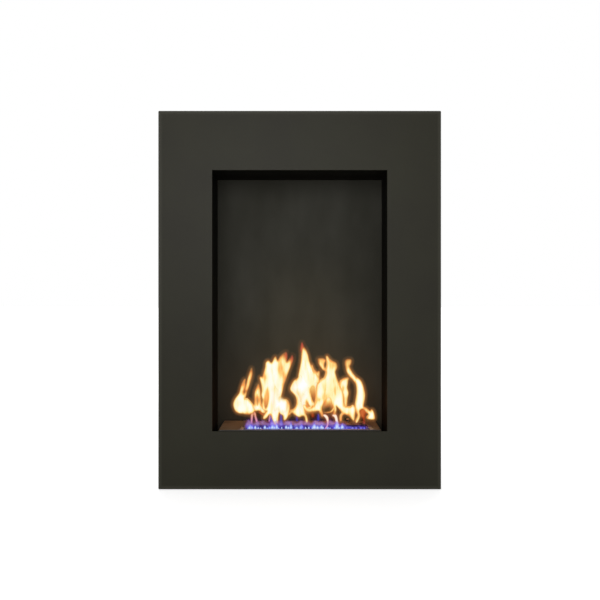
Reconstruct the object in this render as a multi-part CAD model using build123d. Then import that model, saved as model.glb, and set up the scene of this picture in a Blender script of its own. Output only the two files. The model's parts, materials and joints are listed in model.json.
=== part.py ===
from build123d import *
import os

# A bioethanol fireplace insert that hangs in a wall niche. All lengths are in millimetres.
# X runs to the right as seen from the room, Y runs from the room to the wall and Z runs up.
# The origin is on the wall, midway between the two screws of the wall bracket.
# A depth is measured from the face of the front frame towards the wall.

# ---- Front frame: one folded sheet with an upright opening ----
opening_width = 402.0
opening_height = 600.0
border_side = 124.0
border_above = 136.5
frame_margin_below = 28.5  # from the casing's lower flange to the frame's lower fold
frame_sheet = 2.0
frame_return = 22.0  # depth of the folds round the frame
frame_bend = 2.5  # outside radius of those folds
edge_break = 0.4  # bevel round the opening

# ---- Liner: the sheet steel box that the fire burns in ----
liner_sheet = 1.5
liner_side_air = 3.0  # each side stands this far outside the opening's edge
firebox_depth = 139.0  # depth of the back wall's face
liner_fold_air = 0.5  # from the ends of the liner's folds to the casing

# ---- Insulation boards between liner and casing ----
board = 12.0
board_slack = 0.25  # on each face of a board
board_end_air = 1.0  # from a board's end to the tails of the rivets

# ---- Outer casing ----
casing_sheet = 1.2
casing_flange = 22.0  # front flange, turned outwards
casing_fold_air = 1.4  # from the inward folds to the heads of the liner's rivets

# ---- Blind rivets ----
rivet_radius = 1.6
rivet_hole_slack = 0.05
rivet_head_radius = 3.25
rivet_head_height = 1.1
rivet_head_bevel = 0.7
rivet_tail_radius = 2.3
rivet_tail = 3.0
rivet_end_margin = 30.0  # from a seam's end to its first rivet

# ---- Studs that hold the frame to the casing ----
stud_radius = 2.5
stud_hole_slack = 0.25
stud_tip = 2.0  # thread that shows past the nut
stud_end_margin = 24.0  # from the end of a flange to its first stud
washer_radius = 5.0
washer_sheet = 1.0
nut_across_flats = 8.0
nut_height = 4.0
thread_slack = 0.05

# ---- Wall bracket, the hook rail that hangs on it, and the bumpers ----
bracket_sheet = 2.0
bracket_length = 360.0
bracket_leg = 40.0  # height of the leg against the wall
bracket_lip = 18.0  # height of the upright lip above the leg
bracket_hole_spacing = 300.0
bracket_hole_radius = 3.5
hook_rail_length = 340.0
hook_leg = 36.0
hook_air = 3.6  # between the hook's lip and the wall
hook_slack = 0.4  # between the two lips
hook_leg_air = 2.0  # between the bracket's lip and the hook rail's leg
hook_tip_air = 0.3  # under the hook's lip
rail_margin = 2.0  # from the hook rail's upper edge to the casing's upper edge
bumper_radius = 14.0
bumper_tip_radius = 12.0
bumper_inset = 48.0  # from the casing's side to a bumper's centre
bumper_height = 40.0  # from the casing's lower edge to a bumper's centre

# ---- Burner ----
plate_rise = 3.0  # the plate's face stands this far above the opening's lower edge
plate_side_air = 16.4
plate_front_depth = 5.0
plate_rear_air = 7.0
plate_sheet = 2.0
plate_fold = 8.0
plate_bend = 2.5
slot_left_margin = 62.6
slot_right_margin = 30.6
slot_front_air = 1.8  # from the fuel tray's front wall to the slot's lip
slot_depth = 38.0
slot_corner = 4.0
slot_lip = 5.0
slot_lip_sheet = 1.5
plate_overhang = 6.0  # of the plate over the tank
tank_height = 60.0
tank_wall = 1.5
tank_corner = 3.0
overflow_gap = 3.0  # between the tank and the fuel tray
tray_wall = 1.2
tray_lift = 5.0  # of the fuel tray above the tank's floor
wool_side_air = 0.3
wool_drop = 12.0  # of the wool below the plate
grid_sheet = 1.0
grid_pitch = 9.0
grid_hole_radius = 3.0

# ---- Rails that the burner stands on ----
rail_height = 8.0
rail_sheet = 1.5
rail_width = 30.0
rail_foot = 10.0
rail_inset = 61.6  # from the tank's end to the middle of a rail
rail_stop_height = 6.0
rail_stop_slack = 0.5

# ---- Shutter, its guides and its pull rod ----
shutter_sheet = 1.5
shutter_air = 0.3  # above and below the shutter in its guides
shutter_end_overlap = 5.0
shutter_edge_overlap = 4.0
shutter_open_gap = 2.0  # from the slot to the open shutter
shutter_corner = 2.0
guide_sheet = 1.2
guide_foot = 7.0
guide_lip = 3.0
guide_end_slack = 0.4
guide_front_margin = 3.0  # in front of the closed shutter
guide_rear_margin = 6.0  # from the guide to the plate's rear edge
guide_rivet_margin = 17.0
pillar_from_slot_end = 40.6
pillar_from_shutter_edge = 30.0
pillar_radius = 4.0
pillar_base = 3.6
pillar_neck_radius = 2.45
spigot_radius = 1.5
spigot_height = 1.5
cap_radius = 4.0
cap_height = 2.4
cap_bevel = 0.8
cap_air = 0.3
rod_radius = 1.5
rod_length = 74.0
rod_angle = 30.0  # degrees from straight ahead, towards the right
rod_end_round = 1.2
eye_radius = 4.5
eye_height = 3.4
eye_air = 0.1
eye_slack = 0.08

# ---- Widths that follow ----
board_space = board + 2 * board_slack
liner_fold = board_space - liner_fold_air
liner_reach = liner_sheet + liner_fold
firebox_half = opening_width / 2 + liner_side_air
liner_outer = firebox_half + liner_sheet
casing_inner = liner_outer + board_space
casing_outer = casing_inner + casing_sheet
casing_fold = board_space - rivet_head_height - casing_fold_air
flange_outer = casing_inner + casing_flange
flange_reach = flange_outer - firebox_half
board_half = firebox_half - liner_sheet - rivet_tail - board_end_air
frame_half = opening_width / 2 + border_side

# ---- Depths that follow ----
casing_front = frame_sheet + liner_sheet
liner_end = firebox_depth + liner_reach
casing_rear = firebox_depth + liner_sheet + board_space
stand_off = hook_air + hook_slack + hook_leg_air + 3 * bracket_sheet
front = -(casing_rear + casing_sheet + stand_off)

# ---- Heights that follow ----
lip_top = bracket_leg / 2 + bracket_lip
hook_top = lip_top + bracket_sheet + hook_leg
casing_roof = hook_top + rail_margin - casing_sheet
roof_face = casing_roof - board_space - liner_sheet
opening_bottom = roof_face - opening_height
plate_top = opening_bottom + plate_rise
plate_under = plate_top - plate_sheet
tank_bottom = plate_under - tank_height
floor_face = tank_bottom - rail_height
casing_floor = floor_face - liner_sheet - board_space
frame_top = roof_face + border_above
frame_bottom = casing_floor - casing_flange - frame_margin_below - frame_sheet

# ---- Places on the burner that follow ----
plate_half = firebox_half - plate_side_air
plate_rear_depth = firebox_depth - plate_rear_air
rail_offset = plate_half - plate_overhang - rail_inset
slot_left = slot_left_margin - plate_half
slot_right = plate_half - slot_right_margin
tray_inset = plate_overhang + tank_wall + overflow_gap
tray_bottom = tank_bottom + tank_wall + tray_lift
wool_top = plate_under - wool_drop
slot_front = plate_front_depth + tray_inset + tray_wall + slot_front_air + slot_lip_sheet
slot_rear = slot_front + slot_depth
shutter_left = slot_left - shutter_end_overlap
shutter_right = slot_right + shutter_end_overlap
shutter_depth = slot_depth + 2 * shutter_edge_overlap
shutter_front = slot_rear + shutter_open_gap
shutter_travel = shutter_front - (slot_front - shutter_edge_overlap)
shutter_top = plate_top + shutter_air + shutter_sheet
guide_front = slot_front - shutter_edge_overlap - guide_front_margin
guide_rear = plate_rear_depth - guide_rear_margin
pillar_x = slot_right - pillar_from_slot_end
pillar_y = front + shutter_front + pillar_from_shutter_edge
eye_bottom = shutter_top + pillar_base + eye_air
neck_top = eye_bottom + eye_height + cap_air

sides = (-1, 1)


# ---- Helpers ----
def block(x, y, z):
    """A box between two values of x, of y and of z, each pair in either order."""
    spans = [sorted(pair) for pair in (x, y, z)]
    centre = [(low + high) / 2 for low, high in spans]
    sizes = [high - low for low, high in spans]
    return Pos(*centre) * Box(*sizes)


def depths(near, far):
    """The two values of y at two depths behind the frame's face."""
    return (front + near, front + far)


def spread(low, high, count):
    """Evenly spaced values from low to high, both included."""
    step = (high - low) / (count - 1)
    return [low + step * index for index in range(count)]


def turned(profile, centre, outward):
    """A turned piece: (radius, height) points spun round the line that leaves centre outward."""
    outline = Polyline(*[(radius, 0, height) for radius, height in profile], close=True)
    return Plane(origin=centre, z_dir=outward).location * revolve(make_face(outline), Axis.Z)


def bore(radius, centre, outward, below, above=1.0):
    """A cutter for a round hole, from below a face's point to a little above it."""
    return turned([(0, -below), (radius, -below), (radius, above), (0, above)], centre, outward)


def group(pieces):
    """Identical loose pieces as one node."""
    return Compound(children=[piece.solid() for piece in pieces])


def rivet(centre, outward, grip):
    """A set blind rivet. Its head seats on centre, and its tail behind the gripped sheets."""
    profile = [
        (0, rivet_head_height),
        (rivet_head_radius - rivet_head_bevel, rivet_head_height),
        (rivet_head_radius, rivet_head_height - rivet_head_bevel),
        (rivet_head_radius, 0),
        (rivet_radius, 0),
        (rivet_radius, -grip),
        (rivet_tail_radius, -grip),
        (rivet_tail_radius, -grip - rivet_tail),
        (0, -grip - rivet_tail),
    ]
    return turned(profile, centre, outward)


def riveted(sheet, places):
    """The sheet with its rivet holes."""
    radius = rivet_radius + rivet_hole_slack
    for centre, outward, grip in places:
        sheet -= bore(radius, centre, outward, grip + rivet_hole_slack, rivet_head_height / 2)
    return sheet


# ---- Where the fasteners go ----
def liner_seams():
    """Rivets of the liner: sides to roof and floor, sides to back, roof and floor to back."""
    along = spread(rivet_end_margin, firebox_depth - rivet_end_margin / 2, 3)
    seam_y = front + firebox_depth + liner_sheet + liner_fold / 2
    grip = 2 * liner_sheet
    places = {"side": [], "cap": []}
    for face, up in ((roof_face, 1), (floor_face, -1)):
        seam_z = face + up * (liner_sheet + liner_fold / 2)
        for side in sides:
            for depth in along:
                places["side"].append(((side * liner_outer, front + depth, seam_z), (side, 0, 0), grip))
        for x in spread(rivet_end_margin - board_half, board_half - rivet_end_margin, 3):
            places["cap"].append(((x, seam_y, face + up * liner_sheet), (0, 0, up), grip))
    for side in sides:
        for z in spread(floor_face + rivet_end_margin, roof_face - rivet_end_margin, 5):
            places["side"].append(((side * liner_outer, seam_y, z), (side, 0, 0), grip))
    return places


def casing_seams():
    """Rivets of the casing: lids to sides, back to sides, and back to the lower lid."""
    grip = 2 * casing_sheet
    seam_x = casing_inner - casing_fold / 2
    places = {"lid": [], "back": []}
    for face, up in ((casing_roof, 1), (casing_floor, -1)):
        for side in sides:
            for depth in spread(rivet_end_margin, firebox_depth - rivet_end_margin / 2, 3):
                centre = (side * seam_x, front + depth, face + up * casing_sheet)
                places["lid"].append((centre, (0, 0, up), grip))
    for side in sides:
        for z in spread(casing_floor + rivet_end_margin, casing_roof - rivet_end_margin, 6):
            places["back"].append(((side * seam_x, -stand_off, z), (0, 1, 0), grip))
    for x in spread(rivet_end_margin - board_half, board_half - rivet_end_margin, 3):
        places["back"].append(((x, -stand_off, casing_floor + casing_fold / 2), (0, 1, 0), grip))
    return places


def hook_seam():
    """Rivets that join the hook rail, the casing's back and the upper lid's fold."""
    reach = hook_rail_length / 2 - rivet_end_margin / 2
    y = bracket_sheet - stand_off
    z = casing_roof - casing_fold / 2
    grip = bracket_sheet + 2 * casing_sheet
    return [((x, y, z), (0, 1, 0), grip) for x in spread(-reach, reach, 4)]


def guide_seam(side):
    """Rivets of one shutter guide, through its foot and the burner's plate."""
    x = guide_end(side) + side * (guide_sheet + guide_foot / 2)
    near = guide_front + guide_rivet_margin
    far = guide_rear - guide_rivet_margin
    centre_z = plate_top + guide_sheet
    return [((x, front + depth, centre_z), (0, 0, 1), guide_sheet + plate_sheet) for depth in (near, far)]


def stud_places():
    """Centres of the frame's studs, on the back of its face."""
    y = front + frame_sheet
    beside = (casing_outer + flange_outer) / 2
    beyond = (casing_sheet + casing_flange) / 2
    places = []
    for side in sides:
        for z in spread(casing_floor + stud_end_margin, casing_roof - stud_end_margin, 5):
            places.append((side * beside, y, z))
    for face, up in ((casing_roof, 1), (casing_floor, -1)):
        for x in spread(stud_end_margin - firebox_half, firebox_half - stud_end_margin, 3):
            places.append((x, y, face + up * beyond))
    return places


def studded(sheet):
    """The flange with the holes that the frame's studs pass through."""
    through = liner_sheet + casing_sheet
    for centre in stud_places():
        sheet -= bore(stud_radius + stud_hole_slack, centre, (0, -1, 0), through + 1)
    return sheet


# ---- Front frame ----
def front_frame():
    z = (frame_bottom, frame_top)
    tray = block((-frame_half, frame_half), depths(0, frame_return), z)
    bends = tray.faces().sort_by(Axis.Y)[0].edges() + tray.edges().filter_by(Axis.Y)
    tray = fillet(bends, frame_bend)
    inner_half = frame_half - frame_sheet
    hollow = block(
        (-inner_half, inner_half),
        depths(frame_sheet, frame_return + 1),
        (frame_bottom + frame_sheet, frame_top - frame_sheet),
    )
    opening = block(
        (-opening_width / 2, opening_width / 2),
        depths(-1, frame_sheet + 1),
        (opening_bottom, roof_face),
    )
    tray = tray - hollow - opening
    rim = tray.faces().sort_by(Axis.Y)[0].inner_wires()[0].edges()
    return chamfer(rim, edge_break)


def frame_studs():
    length = liner_sheet + casing_sheet + washer_sheet + nut_height + stud_tip
    profile = [(0, 0), (stud_radius, 0), (stud_radius, length), (0, length)]
    return group([turned(profile, centre, (0, 1, 0)) for centre in stud_places()])


def frame_washers():
    near = liner_sheet + casing_sheet
    far = near + washer_sheet
    inner = stud_radius + stud_hole_slack
    profile = [(inner, near), (washer_radius, near), (washer_radius, far), (inner, far)]
    return group([turned(profile, centre, (0, 1, 0)) for centre in stud_places()])


def frame_nuts():
    near = liner_sheet + casing_sheet + washer_sheet
    hexagon = RegularPolygon(radius=nut_across_flats / 2, side_count=6, major_radius=False)
    nut = extrude(hexagon, nut_height) - Cylinder(stud_radius + thread_slack, 3 * nut_height)
    nuts = []
    for x, y, z in stud_places():
        nuts.append(Plane(origin=(x, y + near, z), z_dir=(0, 1, 0)).location * nut)
    return group(nuts)


# ---- Liner ----
def liner_side(side):
    z = (floor_face - liner_reach, roof_face + liner_reach)
    web = block((side * firebox_half, side * liner_outer), depths(frame_sheet, liner_end), z)
    flange = block((side * firebox_half, side * flange_outer), depths(frame_sheet, casing_front), z)
    return riveted(studded(web + flange), liner_seams()["side"])


def liner_cap(face, up):
    """The firebox's roof or floor, with side folds and a front flange, all turned outwards."""
    x = (-firebox_half, firebox_half)
    y = depths(frame_sheet, liner_end)
    cap = block(x, y, (face, face + up * liner_sheet))
    cap += block(x, depths(frame_sheet, casing_front), (face, face + up * flange_reach))
    for side in sides:
        fold_x = (side * firebox_half, side * (firebox_half - liner_sheet))
        cap += block(fold_x, y, (face, face + up * liner_reach))
    seams = liner_seams()
    return riveted(studded(cap), seams["side"] + seams["cap"])


def liner_back():
    """The firebox's back wall, a tray whose folds point at the wall."""
    inner = firebox_half - liner_sheet
    y = depths(firebox_depth, liner_end)
    tray = block((-firebox_half, firebox_half), y, (floor_face, roof_face))
    tray -= block(
        (-inner, inner),
        depths(firebox_depth + liner_sheet, liner_end + 1),
        (floor_face + liner_sheet, roof_face - liner_sheet),
    )
    seams = liner_seams()
    return riveted(tray, seams["side"] + seams["cap"])


def liner_rivets():
    seams = liner_seams()
    return group([rivet(*place) for place in seams["side"] + seams["cap"]])


# ---- Insulation ----
def insulation_side(side):
    x = (side * (liner_outer + board_slack), side * (casing_inner - board_slack))
    return block(x, depths(casing_front + board_slack, firebox_depth), (floor_face, roof_face))


def insulation_cap(face, up):
    near = face + up * (liner_sheet + board_slack)
    y = depths(casing_front + board_slack, firebox_depth)
    return block((-board_half, board_half), y, (near, near + up * board))


def insulation_back():
    near = firebox_depth + liner_sheet + board_slack
    inset = liner_sheet + rivet_tail + board_end_air
    z = (floor_face + inset, roof_face - inset)
    return block((-board_half, board_half), depths(near, near + board), z)


# ---- Casing ----
def casing_side(side):
    z = (casing_floor, casing_roof)
    outer = side * casing_inner
    fold = (outer, side * (casing_inner - casing_fold))
    y = depths(casing_front, casing_rear)
    panel = block((outer, side * casing_outer), y, z)
    panel += block((outer, side * flange_outer), depths(casing_front, casing_front + casing_sheet), z)
    panel += block(fold, depths(casing_rear - casing_sheet, casing_rear), z)
    panel += block(fold, y, (casing_roof, casing_roof - casing_sheet))
    panel += block(fold, y, (casing_floor, casing_floor + casing_sheet))
    seams = casing_seams()
    return riveted(studded(panel), seams["lid"] + seams["back"])


def casing_lid(face, up):
    """The casing's top or bottom, with a front flange outwards and a rear fold inwards."""
    x = (-casing_outer, casing_outer)
    lid = block(x, depths(casing_front, casing_rear), (face, face + up * casing_sheet))
    flange_y = depths(casing_front, casing_front + casing_sheet)
    lid += block(x, flange_y, (face, face + up * casing_flange))
    fold_y = depths(casing_rear - casing_sheet, casing_rear)
    lid += block((-board_half, board_half), fold_y, (face, face - up * casing_fold))
    seams = casing_seams()
    return riveted(studded(lid), seams["lid"] + seams["back"] + hook_seam())


def casing_back():
    z = (casing_floor - casing_sheet, casing_roof + casing_sheet)
    plate = block((-casing_outer, casing_outer), depths(casing_rear, casing_rear + casing_sheet), z)
    return riveted(plate, casing_seams()["back"] + hook_seam())


def casing_rivets():
    seams = casing_seams()
    return group([rivet(*place) for place in seams["lid"] + seams["back"]])


# ---- Hanging ----
def wall_bracket():
    x = (-bracket_length / 2, bracket_length / 2)
    top = bracket_leg / 2
    lip_y = -(hook_air + bracket_sheet + hook_slack)
    leg = block(x, (-bracket_sheet, 0), (-top, top))
    step = block(x, (lip_y - bracket_sheet, 0), (top - bracket_sheet, top))
    lip = block(x, (lip_y - bracket_sheet, lip_y), (top - bracket_sheet, lip_top))
    bracket = leg + step + lip
    for side in sides:
        centre = (side * bracket_hole_spacing / 2, 0, 0)
        bracket -= bore(bracket_hole_radius, centre, (0, 1, 0), bracket_sheet + 1)
    return bracket


def hook_rail():
    x = (-hook_rail_length / 2, hook_rail_length / 2)
    leg = block(x, (-stand_off, bracket_sheet - stand_off), (lip_top, hook_top))
    step = block(x, (-stand_off, -hook_air), (lip_top, lip_top + bracket_sheet))
    lip_z = (bracket_leg / 2 + hook_tip_air, lip_top + bracket_sheet)
    lip = block(x, (-hook_air - bracket_sheet, -hook_air), lip_z)
    return riveted(leg + step + lip, hook_seam())


def hook_rivets():
    return group([rivet(*place) for place in hook_seam()])


def wall_bumpers():
    profile = [(0, 0), (bumper_radius, 0), (bumper_tip_radius, stand_off), (0, stand_off)]
    z = casing_floor - casing_sheet + bumper_height
    x = casing_outer - bumper_inset
    return group([turned(profile, (side * x, -stand_off, z), (0, 1, 0)) for side in sides])


# ---- Burner ----
def slot_block(margin, z):
    """The slot's outline, grown by a margin all round, between two heights."""
    x = (slot_left - margin, slot_right + margin)
    solid = block(x, depths(slot_front - margin, slot_rear + margin), z)
    return fillet(solid.edges().filter_by(Axis.Z), slot_corner + margin)


def burner_plate():
    z = (plate_top - plate_fold, plate_top)
    plate = block((-plate_half, plate_half), depths(plate_front_depth, plate_rear_depth), z)
    bends = plate.faces().sort_by(Axis.Z)[-1].edges() + plate.edges().filter_by(Axis.Z)
    plate = fillet(bends, plate_bend)
    inner = plate_half - plate_sheet
    inner_y = depths(plate_front_depth + plate_sheet, plate_rear_depth - plate_sheet)
    plate -= block((-inner, inner), inner_y, (plate_top - plate_fold - 1, plate_under))
    plate += slot_block(slot_lip_sheet, (plate_under - slot_lip, plate_under))
    plate -= slot_block(0, (plate_under - slot_lip - 1, plate_top + 1))
    return riveted(plate, guide_seam(-1) + guide_seam(1))


def pan(inset, wall, bottom):
    """An open pan under the plate, set in from the plate's edges, up to the plate's underside."""
    half = plate_half - inset
    near = plate_front_depth + inset
    far = plate_rear_depth - inset
    solid = block((-half, half), depths(near, far), (bottom, plate_under))
    solid = fillet(solid.edges().filter_by(Axis.Z), tank_corner)
    x = (wall - half, half - wall)
    return solid - block(x, depths(near + wall, far - wall), (bottom + wall, plate_under + 1))


def burner_tank():
    return pan(plate_overhang, tank_wall, tank_bottom)


def fuel_tray():
    return pan(tray_inset, tray_wall, tray_bottom)


def tray_filling(z):
    """A block that fills the fuel tray between two heights."""
    inset = tray_inset + tray_wall + wool_side_air
    half = plate_half - inset
    return block((-half, half), depths(plate_front_depth + inset, plate_rear_depth - inset), z)


def ceramic_wool():
    return tray_filling((tray_bottom + tray_wall, wool_top))


def wool_grid():
    sheet = tray_filling((wool_top, wool_top + grid_sheet))
    columns = int((slot_right - slot_left) / grid_pitch)
    rows = int(slot_depth / grid_pitch)
    middle = ((slot_left + slot_right) / 2, front + (slot_front + slot_rear) / 2, wool_top)
    holes = GridLocations(grid_pitch, grid_pitch, columns, rows) * Cylinder(grid_hole_radius, 4 * grid_sheet)
    return sheet - [Pos(*middle) * hole for hole in holes]


def burner_rail(side):
    """A hat-shaped rail on the firebox's floor, with a stop at each end of the tank."""
    near = plate_front_depth + plate_overhang - rail_stop_slack
    far = plate_rear_depth - plate_overhang + rail_stop_slack
    y = depths(near - rail_sheet, far + rail_sheet)
    left = side * rail_offset - rail_width / 2
    right = left + rail_width
    rail = block((left, right), y, (tank_bottom - rail_sheet, tank_bottom))
    for edge, out in ((left, -1), (right, 1)):
        rail += block((edge, edge - out * rail_sheet), y, (floor_face, tank_bottom))
        rail += block((edge, edge + out * rail_foot), y, (floor_face, floor_face + rail_sheet))
    for stop in ((near - rail_sheet, near), (far, far + rail_sheet)):
        stop_z = (tank_bottom - rail_sheet, tank_bottom + rail_stop_height)
        rail += block((left, right), depths(*stop), stop_z)
    return rail


# ---- Shutter ----
def guide_end(side):
    """The inner face of the guide on one side, just past the shutter's end."""
    shutter_end = shutter_left if side < 0 else shutter_right
    return shutter_end + side * guide_end_slack


def shutter_guide(side):
    y = depths(guide_front, guide_rear)
    face = guide_end(side)
    outer = face + side * guide_sheet
    lip_z = shutter_top + shutter_air
    guide = block((face, outer), y, (plate_top, lip_z + guide_sheet))
    guide += block((outer, outer + side * guide_foot), y, (plate_top, plate_top + guide_sheet))
    lip_x = (outer, face - side * (guide_end_slack + guide_lip))
    guide += block(lip_x, y, (lip_z, lip_z + guide_sheet))
    return riveted(guide, guide_seam(side))


def guide_rivets():
    return group([rivet(*place) for place in guide_seam(-1) + guide_seam(1)])


def shutter_plate():
    y = depths(shutter_front, shutter_front + shutter_depth)
    plate = block((shutter_left, shutter_right), y, (shutter_top - shutter_sheet, shutter_top))
    return fillet(plate.edges().filter_by(Axis.Z), shutter_corner)


def shutter_pillar():
    neck = neck_top - shutter_top
    profile = [
        (0, 0),
        (pillar_radius, 0),
        (pillar_radius, pillar_base),
        (pillar_neck_radius, pillar_base),
        (pillar_neck_radius, neck),
        (spigot_radius, neck),
        (spigot_radius, neck + spigot_height),
        (0, neck + spigot_height),
    ]
    return turned(profile, (pillar_x, pillar_y, shutter_top), (0, 0, 1))


def pillar_cap():
    inner = spigot_radius + thread_slack
    depth = spigot_height + thread_slack
    profile = [
        (inner, 0),
        (cap_radius, 0),
        (cap_radius, cap_height - cap_bevel),
        (cap_radius - cap_bevel, cap_height),
        (0, cap_height),
        (0, depth),
        (inner, depth),
    ]
    return turned(profile, (pillar_x, pillar_y, neck_top), (0, 0, 1))


def pull_rod():
    eye = Cylinder(eye_radius, eye_height)
    shank_start = (pillar_neck_radius + eye_radius) / 2
    shank = Cylinder(rod_radius, rod_length - shank_start, rotation=(90, 0, 0))
    shank = fillet(shank.edges().sort_by(Axis.Y)[0], rod_end_round)
    shank = Pos(0, -(rod_length + shank_start) / 2, 0) * shank
    rod = eye + shank - Cylinder(pillar_neck_radius + eye_slack, 2 * eye_height)
    return Pos(pillar_x, pillar_y, eye_bottom + eye_height / 2) * Rot(0, 0, rod_angle) * rod


def nodes():
    """Every sub-part of the fireplace under its own name."""
    return {
        "front_frame": front_frame(),
        "frame_studs": frame_studs(),
        "frame_washers": frame_washers(),
        "frame_nuts": frame_nuts(),
        "liner_left": liner_side(-1),
        "liner_right": liner_side(1),
        "liner_roof": liner_cap(roof_face, 1),
        "liner_floor": liner_cap(floor_face, -1),
        "liner_back": liner_back(),
        "liner_rivets": liner_rivets(),
        "insulation_left": insulation_side(-1),
        "insulation_right": insulation_side(1),
        "insulation_top": insulation_cap(roof_face, 1),
        "insulation_bottom": insulation_cap(floor_face, -1),
        "insulation_back": insulation_back(),
        "casing_left": casing_side(-1),
        "casing_right": casing_side(1),
        "casing_top": casing_lid(casing_roof, 1),
        "casing_bottom": casing_lid(casing_floor, -1),
        "casing_back": casing_back(),
        "casing_rivets": casing_rivets(),
        "wall_bracket": wall_bracket(),
        "hook_rail": hook_rail(),
        "hook_rivets": hook_rivets(),
        "wall_bumpers": wall_bumpers(),
        "burner_rail_left": burner_rail(-1),
        "burner_rail_right": burner_rail(1),
        "burner_tank": burner_tank(),
        "fuel_tray": fuel_tray(),
        "ceramic_wool": ceramic_wool(),
        "wool_grid": wool_grid(),
        "burner_plate": burner_plate(),
        "guide_left": shutter_guide(-1),
        "guide_right": shutter_guide(1),
        "guide_rivets": guide_rivets(),
        "shutter_plate": shutter_plate(),
        "shutter_pillar": shutter_pillar(),
        "pillar_cap": pillar_cap(),
        "pull_rod": pull_rod(),
    }


os.makedirs("parts", exist_ok=True)
for name, shape in nodes().items():
    export_step(shape, f"parts/{name}.step")

print(f"frame {2 * frame_half:.1f} wide, {frame_top - frame_bottom:.1f} high, {-front:.1f} to the wall")
print(f"shutter travel {shutter_travel:.1f}, rod {rod_length:.1f} at {rod_angle:.0f} degrees")
print(f"pillar at ({pillar_x:.2f}, {pillar_y:.2f}), plate face at {plate_top:.2f}")
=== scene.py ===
import json
import math

import bpy
import numpy as np
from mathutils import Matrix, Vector

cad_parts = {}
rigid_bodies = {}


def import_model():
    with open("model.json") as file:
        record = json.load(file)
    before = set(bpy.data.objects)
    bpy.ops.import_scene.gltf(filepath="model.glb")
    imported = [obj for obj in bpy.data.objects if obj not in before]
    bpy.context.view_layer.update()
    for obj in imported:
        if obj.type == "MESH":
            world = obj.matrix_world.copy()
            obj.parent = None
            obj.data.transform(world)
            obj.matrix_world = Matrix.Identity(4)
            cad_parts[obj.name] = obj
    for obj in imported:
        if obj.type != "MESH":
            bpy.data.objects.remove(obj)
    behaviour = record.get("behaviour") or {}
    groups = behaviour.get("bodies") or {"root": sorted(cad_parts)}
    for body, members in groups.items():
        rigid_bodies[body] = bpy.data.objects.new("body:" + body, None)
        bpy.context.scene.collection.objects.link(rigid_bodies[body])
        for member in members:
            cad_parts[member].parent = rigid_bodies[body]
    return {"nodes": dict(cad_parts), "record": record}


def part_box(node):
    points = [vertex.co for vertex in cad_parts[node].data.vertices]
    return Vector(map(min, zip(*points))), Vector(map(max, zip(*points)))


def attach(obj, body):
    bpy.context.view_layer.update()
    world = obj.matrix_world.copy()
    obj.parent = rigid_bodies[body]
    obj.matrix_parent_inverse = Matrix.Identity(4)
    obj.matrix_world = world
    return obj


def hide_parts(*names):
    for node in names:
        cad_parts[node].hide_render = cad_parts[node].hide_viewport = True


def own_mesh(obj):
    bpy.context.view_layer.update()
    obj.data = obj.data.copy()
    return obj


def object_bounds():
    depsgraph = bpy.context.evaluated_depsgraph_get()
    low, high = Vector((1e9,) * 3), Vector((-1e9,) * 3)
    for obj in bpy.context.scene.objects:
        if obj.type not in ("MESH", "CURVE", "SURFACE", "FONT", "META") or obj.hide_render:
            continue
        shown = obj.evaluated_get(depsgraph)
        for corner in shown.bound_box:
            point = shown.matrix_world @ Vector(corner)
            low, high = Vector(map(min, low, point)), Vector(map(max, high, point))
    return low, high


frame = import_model()
cad_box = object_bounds()
MM = 0.001
plate_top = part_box("burner_plate")[1].z
slot_left, slot_right, slot_front = -125 * MM, 157 * MM, -146.2 * MM  # the burner plate's slot
lip_deep = 15 * MM  # the plate's strip in front of the slot
jet_reflection_reach = 20 * MM  # how far past the slot's ends the painted reflection of the blue jets reaches
fold_highlight_band = 10 * MM  # how far the painted highlight reaches in from the frame's folds
noise_low, noise_high = 0.3, 0.7  # nearly all of a noise texture's values lie between these


# ---- Colours, nodes and materials ----
def linear(hex_colour):
    """An sRGB hex value as linear red, green, blue and 1."""
    parts = [int(hex_colour[i : i + 2], 16) / 255 for i in (1, 3, 5)]
    return [c / 12.92 if c <= 0.04045 else ((c + 0.055) / 1.055) ** 2.4 for c in parts] + [1.0]


def feed(tree, node, inputs):
    """Gives a node's inputs: plain values, sockets, or nodes, whose first output is taken."""
    for key, value in inputs.items():
        if isinstance(value, bpy.types.Node):
            value = value.outputs[0]
        if isinstance(value, bpy.types.NodeSocket):
            tree.links.new(value, node.inputs[key])
        else:
            node.inputs[key].default_value = value


def add(tree, kind, inputs=None, stops=(), **settings):
    """Adds a node with its settings and inputs, and a colour ramp's stops as (place, hex)."""
    node = tree.nodes.new(kind)
    for name, value in settings.items():
        setattr(node, name, value)
    for _ in stops[2:]:
        node.color_ramp.elements.new(0.5)
    for element, (place, colour) in zip(node.color_ramp.elements if stops else (), stops):
        element.position = place
        element.color = linear(colour)
    feed(tree, node, inputs or {})
    return node


def every(size):
    """The scale of a pattern whose real size is given in millimetres."""
    return 1000 / size


def spread(low, high, start=noise_low, end=noise_high):
    """The named ends of a range, start to end, and what they turn into, low to high."""
    return {"From Min": start, "From Max": end, "To Min": low, "To Max": high}


def tones(low, high):
    """From the colour low to the colour high, over a noise's values."""
    return [(noise_low, low), (noise_high, high)]


def surface(name, build):
    """A material around one Principled node. build gives what goes into its sockets."""
    material = bpy.data.materials.new(name)
    material.use_nodes = True
    tree = material.node_tree
    where = add(tree, "ShaderNodeTexCoord").outputs["Object"]
    feed(tree, tree.nodes["Principled BSDF"], build(tree, where))
    return material


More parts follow.
